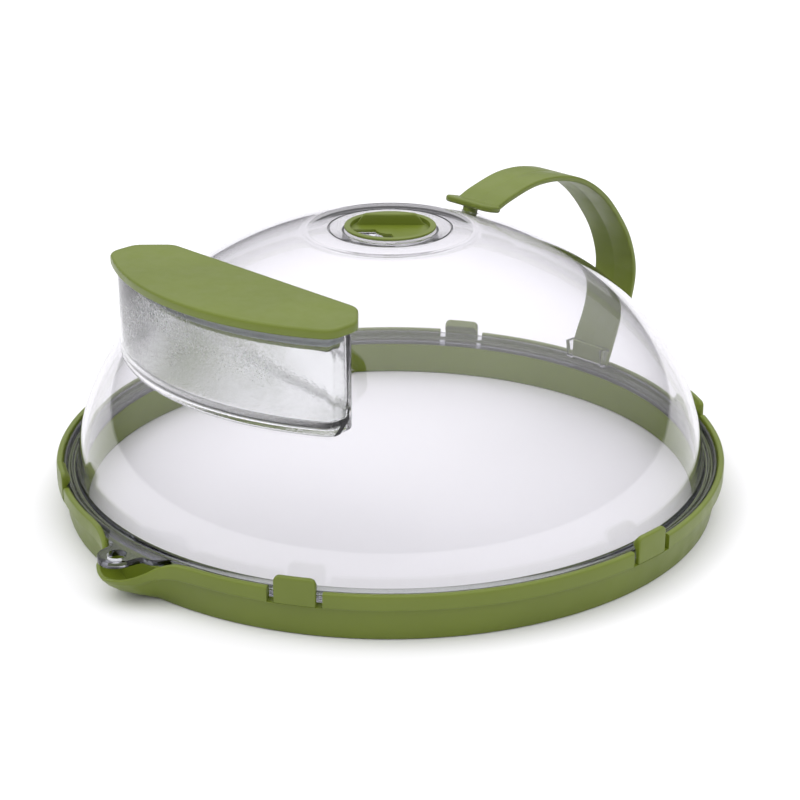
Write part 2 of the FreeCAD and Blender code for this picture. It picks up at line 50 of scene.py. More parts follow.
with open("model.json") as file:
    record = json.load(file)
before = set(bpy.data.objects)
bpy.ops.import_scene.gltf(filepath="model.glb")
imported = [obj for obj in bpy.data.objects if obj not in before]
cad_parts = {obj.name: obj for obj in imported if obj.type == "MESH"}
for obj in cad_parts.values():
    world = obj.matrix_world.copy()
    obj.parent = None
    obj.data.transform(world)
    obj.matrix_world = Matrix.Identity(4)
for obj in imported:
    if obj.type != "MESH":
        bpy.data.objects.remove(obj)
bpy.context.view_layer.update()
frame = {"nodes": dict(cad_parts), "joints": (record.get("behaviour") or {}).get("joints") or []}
MM = 0.001


def in_mm(node):
    """Lowest and highest corner of a CAD node, in millimetres."""
    low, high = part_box(node)
    return np.array(low) / MM, np.array(high) / MM


RING = in_mm("base_ring")
SHELL = in_mm("dome_shell")
RIM = in_mm("dome_flange")
TANK = in_mm("water_tank")
LID = in_mm("tank_lid")
SEAL = in_mm("lid_seal")
FOOT = in_mm("strap_foot")
CLIP = in_mm("clip_2")

CRISP = 32.0             # angle in degrees above which the edge between two faces stays crisp
CRISP_SMALL = 50.0       # the same on small pieces whose edges are rounded all over


# ---------------------------------------------------------------- curves
def filleted(points, radii, steps=6):
    """Closed outlines with each corner replaced by an arc; the last two axes are the corners and their (u, v).

    The arc's centre lies on the corner's bisector at radius / sin(half angle), and the arc runs between the two
    points where it touches the corner's sides. A radius of 0 repeats the corner's own point.
    """
    p = np.asarray(points, float)
    r = np.broadcast_to(np.asarray(radii, float), p.shape[:-1])[..., None]
    back = np.roll(p, 1, -2) - p
    ahead = np.roll(p, -1, -2) - p
    back /= np.maximum(np.linalg.norm(back, axis=-1), 1e-9)[..., None]
    ahead /= np.maximum(np.linalg.norm(ahead, axis=-1), 1e-9)[..., None]
    half = 0.5 * np.arccos(np.clip((back * ahead).sum(-1), -0.9999, 0.9999))[..., None]
    bisector = back + ahead
    bisector /= np.maximum(np.linalg.norm(bisector, axis=-1), 1e-9)[..., None]
    centre = p + bisector * r / np.sin(half)
    first = p + back * r / np.tan(half) - centre
    last = p + ahead * r / np.tan(half) - centre
    start = np.arctan2(first[..., 1], first[..., 0])
    turn = (np.arctan2(last[..., 1], last[..., 0]) - start + np.pi) % (2 * np.pi) - np.pi
    angle = start[..., None] + turn[..., None] * np.linspace(0.0, 1.0, steps)
    arc = centre[..., None, :] + r[..., None] * np.stack([np.cos(angle), np.sin(angle)], -1)
    return arc.reshape(*p.shape[:-2], -1, 2)


def smoothstep(x):
    """0 below 0, 1 above 1, and x * x * (3 - 2 x) between."""
    x = np.clip(x, 0.0, 1.0)
    return x * x * (3.0 - 2.0 * x)


def spline(points, count):
    """Evenly spaced points on a uniform Catmull-Rom curve, and the curve's length.

    Each span is the cubic through its two points whose slope at a point is half the chord between the point's
    neighbours. Before the first point and after the last, the curve is given a point that carries its own chord on.
    """
    p = np.asarray(points, float)
    p = np.vstack([2 * p[0] - p[1], p, 2 * p[-1] - p[-2]])
    spans = len(p) - 3
    t = np.linspace(0.0, spans, 60 * spans + 1)
    k = np.minimum(t.astype(int), spans - 1)
    u = (t - k)[:, None]
    a, b, c, d = p[k], p[k + 1], p[k + 2], p[k + 3]
    dense = 0.5 * (2 * b + (c - a) * u + (2 * a - 5 * b + 4 * c - d) * u ** 2 + (3 * b - a - 3 * c + d) * u ** 3)
    length = np.concatenate([[0.0], np.cumsum(np.linalg.norm(np.diff(dense, axis=0), axis=1))])
    want = np.linspace(0.0, length[-1], count)
    return np.stack([np.interp(want, length, dense[:, i]) for i in range(dense.shape[1])], 1), length[-1]


# ---------------------------------------------------------------- meshes
def grid_faces(rows, columns, wrap_rows, wrap_columns):
    """Quads of a grid, as index arrays: vertex (i, j) is number i * columns + j."""
    i = np.arange(rows if wrap_rows else rows - 1)[:, None]
    j = np.arange(columns if wrap_columns else columns - 1)[None, :]
    i2 = (i + 1) % rows
    j2 = (j + 1) % columns
    quads = np.stack(np.broadcast_arrays(i * columns + j, i2 * columns + j, i2 * columns + j2, i * columns + j2), -1)
    return quads.reshape(-1, 4)


def surface(name, points, wrap_rows=False, wrap_columns=True, caps=False, sharp=CRISP):
    """Mesh object from a grid of points in millimetres; caps closes the first and the last row with one face each.

    Doubles are merged and the faces are turned outwards. The shading is smooth, and edges sharper than the given
    angle stay crisp.
    """
    points = np.asarray(points, float)
    rows, columns = points.shape[:2]
    faces = grid_faces(rows, columns, wrap_rows, wrap_columns).tolist()
    if caps:
        faces.append(list(range(columns)))
        faces.append(list(range((rows - 1) * columns, rows * columns)))
    mesh = bpy.data.meshes.new(name)
    mesh.from_pydata((points.reshape(-1, 3) * MM).tolist(), [], faces)
    work = bmesh.new()
    work.from_mesh(mesh)
    bmesh.ops.remove_doubles(work, verts=work.verts, dist=2e-6)
    bmesh.ops.dissolve_degenerate(work, edges=work.edges, dist=1e-6)
    bmesh.ops.recalc_face_normals(work, faces=work.faces)
    work.to_mesh(mesh)
    work.free()
    mesh.shade_smooth()
    mesh.set_sharp_from_angle(angle=math.radians(sharp))
    obj = bpy.data.objects.new(name, mesh)
    bpy.context.scene.collection.objects.link(obj)
    return obj


def revolved(name, profile, steps):
    """Closed profile of (radius, height) carried round Z: point (r, z) goes to (r cos a, r sin a, z)."""
    profile = np.asarray(profile, float)
    angle = np.linspace(0.0, 2 * math.pi, steps, endpoint=False)[:, None]
    r = profile[None, :, 0]
    z = np.broadcast_to(profile[None, :, 1], (steps, len(profile)))
    return surface(name, np.stack([r * np.cos(angle), r * np.sin(angle), z], -1), wrap_rows=True)


def disc(half_x, half_y, count=40):
    """Ellipse in plan about the origin: (half_x cos t, half_y sin t)."""
    t = np.linspace(0.0, 2 * np.pi, count, endpoint=False)
    return np.stack([half_x * np.cos(t), half_y * np.sin(t)], -1)


def raised(rows):
    """Grid of points from rows of a plan outline and its height."""
    return np.array([np.column_stack([outline, np.full(len(outline), z)]) for outline, z in rows])


def lofted(name, rows):
    """Closed solid through plan outlines at rising or falling heights, with a flat face at each end."""
    return surface(name, raised(rows), caps=True)


def cut_away(obj, cutter):
    """Takes the cutter's space out of obj with an exact Boolean and removes the cutter."""
    modifier = obj.modifiers.new("cut", "BOOLEAN")
    modifier.operation = "DIFFERENCE"
    modifier.solver = "EXACT"
    modifier.object = cutter
    graph = bpy.context.evaluated_depsgraph_get()
    mesh = bpy.data.meshes.new_from_object(obj.evaluated_get(graph))
    obj.modifiers.clear()
    old = obj.data
    obj.data = mesh
    mesh.name = old.name
    bpy.data.meshes.remove(old)
    bpy.data.objects.remove(cutter)
    mesh.shade_smooth()
    mesh.set_sharp_from_angle(angle=math.radians(CRISP))


def settle(obj, body, slot, material, nodes=()):
    """Gives a piece its finish and its body, and hides the CAD nodes it stands for.

    Clear pieces cast no shadow, so that the light reaches what they cover.
    """
    obj.data.materials.clear()
    obj.data.materials.append(material)
    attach(obj, body)
    if nodes:
        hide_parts(*nodes)
    if slot == "clear_plastic":
        obj.visible_shadow = False
    return obj


# ---------------------------------------------------------------- finishes
def node_of(tree, kind, **values):
    """New shader node; values whose names are sockets are set on the sockets."""
    node = tree.nodes.new(kind)
    for key, value in values.items():
        if key in node.inputs:
            node.inputs[key].default_value = value
        else:
            setattr(node, key, value)
    return node


def new_finish(name):
    """New material, its node tree, its Principled shader and its Object coordinates."""
    material = bpy.data.materials.new(name)
    material.use_nodes = True
    tree = material.node_tree
    shader = tree.nodes["Principled BSDF"]
    place = tree.nodes.new("ShaderNodeTexCoord").outputs["Object"]
    return material, tree, shader, place


def noise(tree, place, scale, detail=3.0, rough=0.5):
    """Noise over Object coordinates; scale is in waves per metre."""
    node = node_of(tree, "ShaderNodeTexNoise", Scale=scale, Detail=detail, Roughness=rough)
    tree.links.new(place, node.inputs["Vector"])
    return node.outputs["Fac"]


def mapped(tree, value, low, high, start=0.0, end=1.0):
    """A value between start and end stretched to run from low to high, and held there beyond them."""
    node = node_of(tree, "ShaderNodeMapRange")
    node.inputs["From Min"].default_value = start
    node.inputs["From Max"].default_value = end
    node.inputs["To Min"].default_value = low
    node.inputs["To Max"].default_value = high
    tree.links.new(value, node.inputs["Value"])
    return node.outputs["Result"]


def mixed(tree, factor, first, second):
    """Colour between first, where the factor is 0, and second, where it is 1."""
    node = node_of(tree, "ShaderNodeMix", data_type="RGBA")
    tree.links.new(factor, node.inputs["Factor"])
    colours = [socket for socket in node.inputs if socket.type == "RGBA"]
    colours[0].default_value = (*first, 1.0)
    colours[1].default_value = (*second, 1.0)
    return next(socket for socket in node.outputs if socket.type == "RGBA")


def bumped(tree, shader, height, strength, distance):
    """Tilts the shader's normal by the slope of a height; distance is the height of 1 in metres."""
    node = node_of(tree, "ShaderNodeBump", Strength=strength, Distance=distance)
    tree.links.new(height, node.inputs["Height"])
    tree.links.new(node.outputs["Normal"], shader.inputs["Normal"])


def green_finish(colour):
    """Satin moulded plastic: faint flow clouds in the colour and a fine eroded grain in the surface."""
    material, tree, shader, place = new_finish("satin_green")
    clouds = noise(tree, place, 26.0, 4.0)
    dark = tuple(0.93 * c for c in colour)
    light = tuple(1.06 * c for c in colour)
    tree.links.new(mixed(tree, mapped(tree, clouds, 0.0, 1.0, 0.3, 0.7), dark, light), shader.inputs["Base Color"])
    tree.links.new(mapped(tree, noise(tree, place, 140.0), 0.34, 0.46, 0.3, 0.7), shader.inputs["Roughness"])
    bumped(tree, shader, noise(tree, place, 2600.0, 2.0), 0.12, 0.00008)
    shader.inputs["IOR"].default_value = 1.5
    shader.inputs["Specular IOR Level"].default_value = 0.5
    return material


def absorb(tree, colour, density):
    """Light lost along the way through the plastic: exp(-(1 - colour) * density * length), density per metre."""
    node = node_of(tree, "ShaderNodeVolumeAbsorption", Density=density)
    node.inputs["Color"].default_value = (*colour, 1.0)
    tree.links.new(node.outputs["Volume"], tree.nodes["Material Output"].inputs["Volume"])


ACRYLIC_IOR = 1.49
DEEP_GREY = (0.34, 0.34, 0.40)
MIST_WHITE = (0.80, 0.83, 0.80)


def clear_finish(name, tint, ripple, density):
    """Clear moulded plastic: a glossy wall with slow ripples left by the mould's flow, greyer where it is deep."""
    material, tree, shader, place = new_finish(name)
    absorb(tree, DEEP_GREY, density)
    shader.inputs["Base Color"].default_value = (*tint, 1.0)
    shader.inputs["Transmission Weight"].default_value = 1.0
    shader.inputs["IOR"].default_value = ACRYLIC_IOR
    tree.links.new(mapped(tree, noise(tree, place, 60.0), 0.0, 0.03, 0.35, 0.75), shader.inputs["Roughness"])
    bumped(tree, shader, noise(tree, place, 14.0, 1.0), ripple, 0.0004)
    return material


def misted_finish(tint):
    """Clear plastic of the tank, misted inside: cloudy patches and fine speckles scatter the light."""
    material, tree, shader, place = new_finish("misted_wall")
    clouds = mapped(tree, noise(tree, place, 38.0, 3.0), 0.0, 1.0, 0.42, 0.68)
    speckles = mapped(tree, noise(tree, place, 900.0, 3.0, 0.7), 0.0, 1.0, 0.45, 0.7)
    both = node_of(tree, "ShaderNodeMath", operation="MULTIPLY")
    tree.links.new(clouds, both.inputs[0])
    tree.links.new(speckles, both.inputs[1])
    tree.links.new(mixed(tree, both.outputs["Value"], tint, MIST_WHITE), shader.inputs["Base Color"])
    tree.links.new(mapped(tree, both.outputs["Value"], 0.01, 0.55), shader.inputs["Roughness"])
    shader.inputs["Transmission Weight"].default_value = 1.0
    shader.inputs["IOR"].default_value = ACRYLIC_IOR
    bumped(tree, shader, speckles, 0.15, 0.0001)
    return material


def seal_finish(colour):
    """Milky silicone: soft gloss with a fine cloudy grain."""
    material, tree, shader, place = new_finish("milky_seal")
    clouds = noise(tree, place, 300.0)
    dark = tuple(0.88 * c for c in colour)
    tree.links.new(mixed(tree, clouds, dark, colour), shader.inputs["Base Color"])
    tree.links.new(mapped(tree, clouds, 0.3, 0.45), shader.inputs["Roughness"])
    shader.inputs["Transmission Weight"].default_value = 0.3
    bumped(tree, shader, clouds, 0.1, 0.0001)
    return material


# ---------------------------------------------------------------- sizes and colours a user would change
def length(name, about, millimetres):
    """Property for a length, given in millimetres and kept in metres."""
    return bpy.props.FloatProperty(name=name, description=about, default=millimetres * MM, unit="LENGTH", precision=5)


def tone(name, about, rgb):
    """Property for a colour."""
    return bpy.props.FloatVectorProperty(name=name, description=about, default=rgb, subtype="COLOR", min=0.0, max=1.0)


def lengths(group):
    """The group's lengths as plain numbers in millimetres."""
    return SimpleNamespace(**{name: getattr(group, name) / MM for name in type(group).__annotations__})


class RingSizes(bpy.types.PropertyGroup):
    """Base ring and its clips."""
    band_wall: length("Band wall", "Thickness of the upper band", 2.4)
    rim_round: length("Rim round", "Radius of the rim's outer edge", 0.9)
    step_z: length("Step height", "Underside of the band", 12.7)
    step_inset: length("Step inset", "Outer wall under the band, in from the band", 1.6)
    foot_inset: length("Foot inset", "Outer wall at the table, in from the band", 3.7)
    wall: length("Wall", "Thickness of the two walls under the shelf", 2.0)
    shelf_z: length("Shelf height", "Top of the shelf that carries the dome", 13.1)
    shelf_t: length("Shelf thickness", "Thickness of the shelf", 1.8)
    bore: length("Bore", "Inner radius of the ring", 120.0)
    slot_z: length("Slot floor", "Floor of the slots beside the clips", 12.9)
    clip_width: length("Clip width", "Width of a clip", 15.0)
    clip_slot: length("Clip slot", "Gap beside a clip", 2.4)
    clip_t: length("Clip thickness", "Thickness of a clip", 2.0)


class DomeSizes(bpy.types.PropertyGroup):
    """Clear dome, flange and vent."""
    height: length("Height", "Crown of the dome's curve above the flange", 96.3)
    wall: length("Wall", "Thickness of the dome", 2.0)
    plateau_r: length("Plateau radius", "Flat crown of the dome", 31.5)
    plateau_slope: length("Plateau slope", "Width of the step up to the flat crown", 3.5)
    plateau_rise: length("Plateau rise", "Height of the step up to the flat crown", 0.9)
    groove_r: length("Groove radius", "Fine groove on the crown", 23.3)
    well_r: length("Well radius", "Well that holds the vent knob", 16.0)
    well_depth: length("Well depth", "Depth of the well", 2.1)
    well_floor: length("Well floor", "Thickness of the well's floor", 1.6)
    peg_at: length("Peg distance", "Distance of the strap's peg from the axis", 44.5)


class TankSizes(bpy.types.PropertyGroup):
    """Water tank and its lid."""
    arc_r: length("Outer wall radius", "Radius of the curved wall about the dome axis", 103.3)
    flat_y: length("Straight wall", "Distance of the straight wall from the axis", 67.2)
    half: length("Half width", "Half width at the side walls", 57.0)
    chamfer: length("Chamfer", "Chamfer of the two inner corners", 9.5)
    corner: length("Corner", "Radius of the upright edges", 5.0)
    depth: length("Depth", "Tank's top to the underside of its floor", 33.6)
    wall: length("Wall", "Thickness of the walls", 2.0)
    lid_over: length("Lid overhang", "Lid beyond the tank", 2.2)
    lid_round: length("Lid round", "Radius of the lid's upper edge", 1.1)


class Colours(bpy.types.PropertyGroup):
    """Colours of the finishes."""
    green: tone("Green", "Olive green plastic", (0.128, 0.168, 0.012))
    clear: tone("Clear", "Tint of the clear dome", (0.962, 0.955, 0.972))
    flange: tone("Flange", "Tint of the thick clear flange", (0.93, 0.95, 0.94))
    mist: tone("Mist", "Tint of the misted tank", (0.97, 0.975, 0.98))
    seal: tone("Seal", "Grey silicone", (0.42, 0.46, 0.47))


class StageSettings(bpy.types.PropertyGroup):
    """Camera and light."""
    azimuth: bpy.props.FloatProperty(name="Azimuth", description="Turn of the camera from the lug's side",
                                     default=math.radians(44.3), subtype="ANGLE")
    elevation: bpy.props.FloatProperty(name="Elevation", description="Camera above the table",
                                       default=math.radians(22.67), subtype="ANGLE")
    distance: length("Distance", "Camera to the middle of the view", 800.0)
    lens: bpy.props.FloatProperty(name="Lens", description="Focal length on a 36 mm sensor", default=92.23,
                                  subtype="DISTANCE_CAMERA")
    light: bpy.props.FloatProperty(name="Light", description="Strength of the lamps", default=0.35, min=0.0)


def settings(name):
    """The scene's group of settings with that name in GROUPS."""
    return getattr(bpy.context.scene, "food_cover_" + name)


def finish_of(name):
    """The finish with that name, made the first time it is asked for."""
    colours = settings("colours")
    if name not in bpy.data.materials:
        made = {"satin_green": lambda: green_finish(tuple(colours.green)),
                "clear_wall": lambda: clear_finish("clear_wall", tuple(colours.clear), ripple=0.02, density=30.0),
                "clear_flange": lambda: clear_finish("clear_flange", tuple(colours.flange), ripple=0.03, density=240.0),
                "misted_wall": lambda: misted_finish(tuple(colours.mist)),
                "milky_seal": lambda: seal_finish(tuple(colours.seal))}
        made[name]()
    return bpy.data.materials[name]


# ---------------------------------------------------------------- shapes
BAND_R = RING[1][1]
RIM_Z = RING[1][2]
SEAT_Z = SHELL[0][2]
DOME_R = SHELL[1][0]
DOME_POWER = 1.94
FLANGE_EDGE = RIM[1][0]
FLANGE_TOP = SEAT_Z + 4.3
CLIP_AT = np.radians(np.arange(-150.0, 151.0, 60.0))
VENT_FROM, VENT_TO = np.radians((-45.0, 52.0))
VENT_INNER, VENT_OUTER = 5.4, 13.6
PEG_TILT = math.radians(15.0)
PEG_HOLE_R = 3.5
GRIP_TURN = math.radians(44.3)
CUT_MARGIN = 0.03        # how far the tank's opening in the dome is wider and deeper than the tank

CLIP_NECK_Z = 18.9       # height from which a clip's inner face leans in towards its hook
HOOK_Z = (20.6, 21.3)    # lowest and highest height of the hook's nose
HOOK_OVER = 0.6          # how far the nose reaches over the flange
CLIP_FALL = 2.2          # radius of a clip's two upper corners
CLIP_END = 0.5           # radius of the upright edges at its ends

FLANGE_LIP = 1.4         # width of the lip at the flange's edge
FLANGE_PLATE = 2.0       # thickness of the flange inside its lip
FLANGE_FOOT = 0.9        # width of the slope from the flange up to the dome
RIDGE_AT = (2.6, 3.4)    # the ridge's two sides, in from the edge
RIDGE_H = 1.0
LUG_ROOT = 17.0          # half width of the hanging lug where it meets the flange
LUG_R = 7.0              # radius of its nose
LUG_T = 2.4
LUG_HOLE_R = 3.5
LUG_BURIED = 0.3         # how far its root lies inside the flange
LUG_EDGE = ((0.0, 0.965), (0.12, 0.99), (0.5, 1.0))      # depth below a face, and the plan's size there

TURNED_IN = 3.0          # how far inside their corners the flat ends of the tank's floor and the lid's plug begin
STEAM_AT = (-23.5, 12.6)                # the steam hole's middle along the straight wall, and above the tank's floor
STEAM_HALF = (6.0, 4.0)
LID_GAP = 0.15
PLUG_GAP = 1.6           # between the lid's plug and the tank's wall
GROOVE = 1.6             # depth of the seal's groove in the plug
SEAL_GAP = 0.35          # between the seal's lips and the tank's wall
LIP = 0.9                # how far its two lips stand out

KNOB_GAP = 0.25          # between the knob and the dome under it
KNOB_OVER = 1.4          # how far the knob's rim reaches past the well
KNOB_RIM_T = 0.9
KNOB_RIM_W = 2.4
KNOB_FLOOR_T = 1.1
CUP_GAP = 0.4            # between the cup and the well's wall
PIN_R = 2.9
PIN_BARB_R = 3.7
PIN_TIP_R = 2.1
PIN_TIP = 1.6
BARB_GAP = 0.3           # between the pin's barb and the well's floor
WELL_HOLE_R = 2.96
GRIP_HALF = 13.6
GRIP_BACK = 5.6          # the grip's straight side, from the knob's middle
GRIP_T = (0.6, 3.6)      # thickness at its ends, and what its bow adds in the middle
GRIP_H = 4.2
GRIP_RISE = 4.4          # length of the slope at its ends
GRIP_BURIED = 0.2

STRAP_W, STRAP_T = 21.0, 2.4
STRAP_END = (4.7, 2.0)   # the end of the strap's middle line, past the peg and above the dome
HEAD_HALF = 12.3
HEAD_Y = (-4.8 + 1.0, 4.8 + 1.0)
HEAD_Z = (1.9, 4.4)
PEG_ROWS = ((2.5, -2.3), (2.85, -2.1), (2.95, -1.8), (2.95, 2.4))       # radius and height
PLATE_GAP = 0.45         # between the dome and the plate that holds the strap's pocket
PLATE_UP = 0.9           # the plate's foot above the flange
PLATE_SIZE = (8.0, 1.3, 7.7)             # half width, thickness, height
NECK_Y = (1.0, 4.2)
NECK_Z = (1.4, 6.3)
NECK_HALF = 3.0

# Name, place and side in metres, and power in watts at a light of 1.
LAMPS = (("key", (-0.6, -0.9, 1.5), 1.1, 16.0),
         ("fill", (1.2, -0.2, 1.0), 0.9, 6.0),
         ("back", (-0.5, 1.3, 1.2), 1.0, 8.0))
LIGHT_TINT = (0.98, 0.97, 1.0, 1.0)
SKY = (0.14, 1.62)       # strength of the light from the horizon and from overhead
PAPER = (0.88, 0.88, 0.885, 1.0)
FLOOR_HALF = 6000.0
FLOOR_Z = -0.2
VIEW_MIDDLE = (2.65, 2.58, 35.6)
SENSOR = 36.0

# Corners of the ring's section through the ear's middle, from the shelf over the nose to the underside.
EAR_SECTION = [(128.4, 13.1), (129.4, 2.9), (132.3, 4.0), (136.0, 6.1), (139.2, 8.5), (141.0, 10.3), (141.7, 10.9),
               (143.4, 10.9), (142.3, 9.1), (140.6, 7.2), (137.0, 4.4), (133.0, 2.2), (129.5, 0.8)]
SLOT_R = (127.0, 127.0, 127.4, 127.8, 128.2, 128.6, 129.2)         # radii of the corners lowered to a slot's floor

# Ear of the ring: angle from its middle in degrees, share of its full reach, share of the rim's full drop.
EAR_REACH = [(0.0, 1.0), (3.4, 0.75), (4.66, 0.42), (6.46, 0.20), (8.97, 0.07), (11.9, 0.01), (14.0, 0.0), (16.0, 0.0)]
EAR_DROP = [(0.0, 1.0), (2.0, 0.96), (3.4, 0.86), (4.66, 0.71), (6.46, 0.35), (8.97, 0.07), (11.0, 0.0), (16.0, 0.0)]


def eased(table, degrees):
    """Even function of an angle: a Catmull-Rom curve through the table and its mirror image, 0 beyond it."""
    table = np.array(table)
    both = np.vstack([table[:0:-1] * (-1.0, 1.0), table])
    line = spline(both, 600)[0]
    return np.interp(degrees, line[:, 0], line[:, 1], left=0.0, right=0.0)


def ring_sections(s, angle):
    """Corners (radius, height) of the ring's section at each angle, and the radius of each corner.

    The plain section and the section through the middle of the ear have matching corners, and the section at an
    angle lies between them: by the reach's share in radius and by the drop's share in height. Beside the clips
    everything above the slot's floor is lowered onto it.
    """
    step_r = BAND_R - s.step_inset
    foot_r = BAND_R - s.foot_inset
    inner_r = BAND_R - s.band_wall
    channel_z = s.shelf_z - s.shelf_t
    climb = np.array([0.75, 0.5, 0.25])
    inner_z = np.array([s.shelf_z + 0.25, 14.2, 15.0, 15.9, 16.7])
    plain = np.array([(s.bore, 0), (s.bore, s.shelf_z), (inner_r, s.shelf_z)]
                     + [(inner_r, z) for z in inner_z]
                     + [(inner_r, RIM_Z), (BAND_R, RIM_Z), (BAND_R, s.step_z), (step_r, s.step_z)]
                     + [(foot_r + (step_r - foot_r) * c, s.step_z * c) for c in climb]
                     + [(foot_r, 0), (foot_r - s.wall, 0), (step_r - s.wall - 0.4, channel_z),
                        (s.bore + s.wall, channel_z), (s.bore + s.wall, 0)])
    nose = plain.copy()
    nose[2:15] = EAR_SECTION
    radius = np.array([0.5, 0.4, 0.25, 0.1, 0, 0, 0, 0, 0.8, s.rim_round, 0.5, 0.35, 0, 0, 0, 0.6, 0.4, 0.5, 0.5, 0.4])
    reach = eased(EAR_REACH, np.degrees(angle))[:, None]
    drop = eased(EAR_DROP, np.degrees(angle))[:, None]
    r = plain[:, 0] + (nose - plain)[:, 0] * reach
    z = plain[:, 1] + (nose - plain)[:, 1] * drop
    radii = radius * (1.0 - 0.5 * reach)
    away = np.abs(angle[:, None] - CLIP_AT).min(1)
    slot = (away < (0.5 * s.clip_width + s.clip_slot) / BAND_R)[:, None]
    lowered = np.array([*SLOT_R, BAND_R])
    r[:, 2:10] = np.where(slot, lowered, r[:, 2:10])
    z[:, 3:10] = np.where(slot, s.slot_z, z[:, 3:10])
    radii[:, 2:12] = np.where(slot, 0.0, radii[:, 2:12])
    return np.stack([r, z], -1), radii


def ring_angles(s):
    """Angles from the middle of the ear: one degree apart, finer over the ear, and two at each slot edge."""
    half = (0.5 * s.clip_width + s.clip_slot) / BAND_R
    edges = np.concatenate([CLIP_AT - half, CLIP_AT + half])
    tiny = 1e-8
    even = np.radians(np.concatenate([np.arange(-180.0, 180.0, 1.0), np.arange(-15.0, 15.0, 0.3)]))
    return np.unique(np.concatenate([even, edges - tiny, edges + tiny]))


def around(outline, angle):
    """Outlines of (radius, height), one for each angle from the -Y side towards +X, as points in space."""
    r, z = outline[..., 0], outline[..., 1]
    a = angle[:, None]
    return np.stack([r * np.sin(a), -r * np.cos(a), z], -1)


def clip_grid(s, at):
    """A clip's section carried over its width: its height falls along a circle near the two upper corners and
    its thickness shrinks along a circle at the two ends."""
    low, top = CLIP[0][2], CLIP[1][2]
    inner = BAND_R - s.clip_t
    hook = FLANGE_EDGE - HOOK_OVER
    corners = [(inner, low), (inner, CLIP_NECK_Z), (hook, HOOK_Z[0]), (hook, HOOK_Z[1]), (inner + 0.3, top),
               (BAND_R, top), (BAND_R, low)]
    section = filleted(corners, [0.2, 0.8, 0.3, 0.3, 0.5, 0.8, 0.2])
    half = 0.5 * s.clip_width
    x = half * np.sin(0.5 * np.pi * np.linspace(-1.0, 1.0, 49))
    past = np.clip((np.abs(x) - (half - CLIP_FALL)) / CLIP_FALL, 0.0, 1.0)
    fall = CLIP_FALL * (1.0 - np.sqrt(1.0 - past ** 2))
    end = np.clip((np.abs(x) - (half - CLIP_END)) / CLIP_END, 0.0, 1.0)
    slim = 1.0 - 0.45 * (1.0 - np.sqrt(1.0 - end ** 2))
    middle = BAND_R - 0.5 * s.clip_t
    r = middle + (section[:, 0] - middle) * slim[:, None]
    z = low + (section[:, 1] - low) * ((top - fall - low) / (top - low))[:, None]
    return around(np.stack([r, z], -1), at + x / BAND_R)


def dome_line(s, inset, r_end, count=44):
    """The dome's superellipse: r = R cos(t) ** (2 / power), z = H sin(t) ** (2 / power), up to radius r_end."""
    t_end = math.acos((r_end / (DOME_R - inset)) ** (DOME_POWER / 2.0))
    t = np.linspace(0.0, t_end, count)
    power = 2.0 / DOME_POWER
    return np.stack([(DOME_R - inset) * np.cos(t) ** power, SEAT_Z + (s.height - inset) * np.sin(t) ** power], -1)


def dome_height(s, r, inset=0.0):
    """Height of the dome's outer surface at radius r."""
    return SEAT_Z + (s.height - inset) * (1.0 - (r / (DOME_R - inset)) ** DOME_POWER) ** (1.0 / DOME_POWER)


def crown_of(s):
    """Height of the flat crown: the dome's curve at the foot of the step, and the step's rise."""
    return dome_height(s, s.plateau_r + s.plateau_slope) + s.plateau_rise


def dome_profile(s):
    """Closed outline of the shell: outer curve, step to the crown, groove, well, inner curve."""
    crown = crown_of(s)
    well = crown - s.well_depth
    low = well - s.well_floor
    outer = dome_line(s, 0.0, s.plateau_r + s.plateau_slope)
    inner = dome_line(s, s.wall, s.plateau_r)[::-1]
    top = [(s.plateau_r + 0.35 * s.plateau_slope, crown - 0.3 * s.plateau_rise), (s.plateau_r, crown),
           (s.groove_r + 0.4, crown), (s.groove_r, crown - 0.35), (s.groove_r - 0.4, crown), (s.well_r, crown),
           (s.well_r, well), (WELL_HOLE_R, well), (WELL_HOLE_R, low), (s.well_r + s.wall, low),
           (s.well_r + s.wall, crown - s.wall)]
    points = np.vstack([outer, top, inner])
    radii = np.concatenate([np.zeros(len(outer)), [1.2, 2.0, 0.25, 0.3, 0.25, 0.5, 0.5, 0.2, 0.2, 0.5, 0.5],
                            np.zeros(len(inner))])
    radii[0] = 0.4
    return clean(filleted(points, radii, 5))


def clean(outline):
    """The outline without the points that repeat the one before."""
    step = np.linalg.norm(outline - np.roll(outline, 1, 0), axis=1)
    return outline[step > 1e-4]


def sector_outline(inner, outer, start, end, corner):
    """Ring sector in plan, angles from the -Y side towards +X, with rounded corners."""
    a = np.linspace(start, end, 28)
    far = np.stack([outer * np.sin(a), -outer * np.cos(a)], -1)
    near = np.stack([inner * np.sin(a), -inner * np.cos(a)], -1)[::-1]
    radii = np.zeros(2 * len(a))
    radii[[0, 27, 28, 55]] = corner
    return clean(filleted(np.vstack([far, near]), radii, 5))


def tank_outlines(s, grow):
    """Plan of the tank at each offset: an arc on the dome axis, two sides, two chamfers and a straight wall."""
    grow = np.atleast_1d(np.asarray(grow, float))
    r = (s.arc_r + grow)[:, None]
    half = s.half + grow
    y = -s.flat_y + grow
    cut = s.chamfer + 0.4 * grow
    end = np.arcsin(half / r[:, 0])[:, None]
    a = end * np.linspace(1.0, -1.0, 25)
    arc = np.stack([r * np.sin(a), -r * np.cos(a)], -1)
    corners = [(-half, y - cut), (-half + cut, y), (half - cut, y), (half, y - cut)]
    wall = np.stack([np.stack(pair, -1) for pair in corners], 1)
    points = np.concatenate([arc, wall], 1)
    radii = np.zeros(points.shape[:2])
    rounded = [0, 24, 25, 26, 27, 28]
    radii[:, rounded] = (s.corner + grow)[:, None]
    return filleted(points, radii, 6)


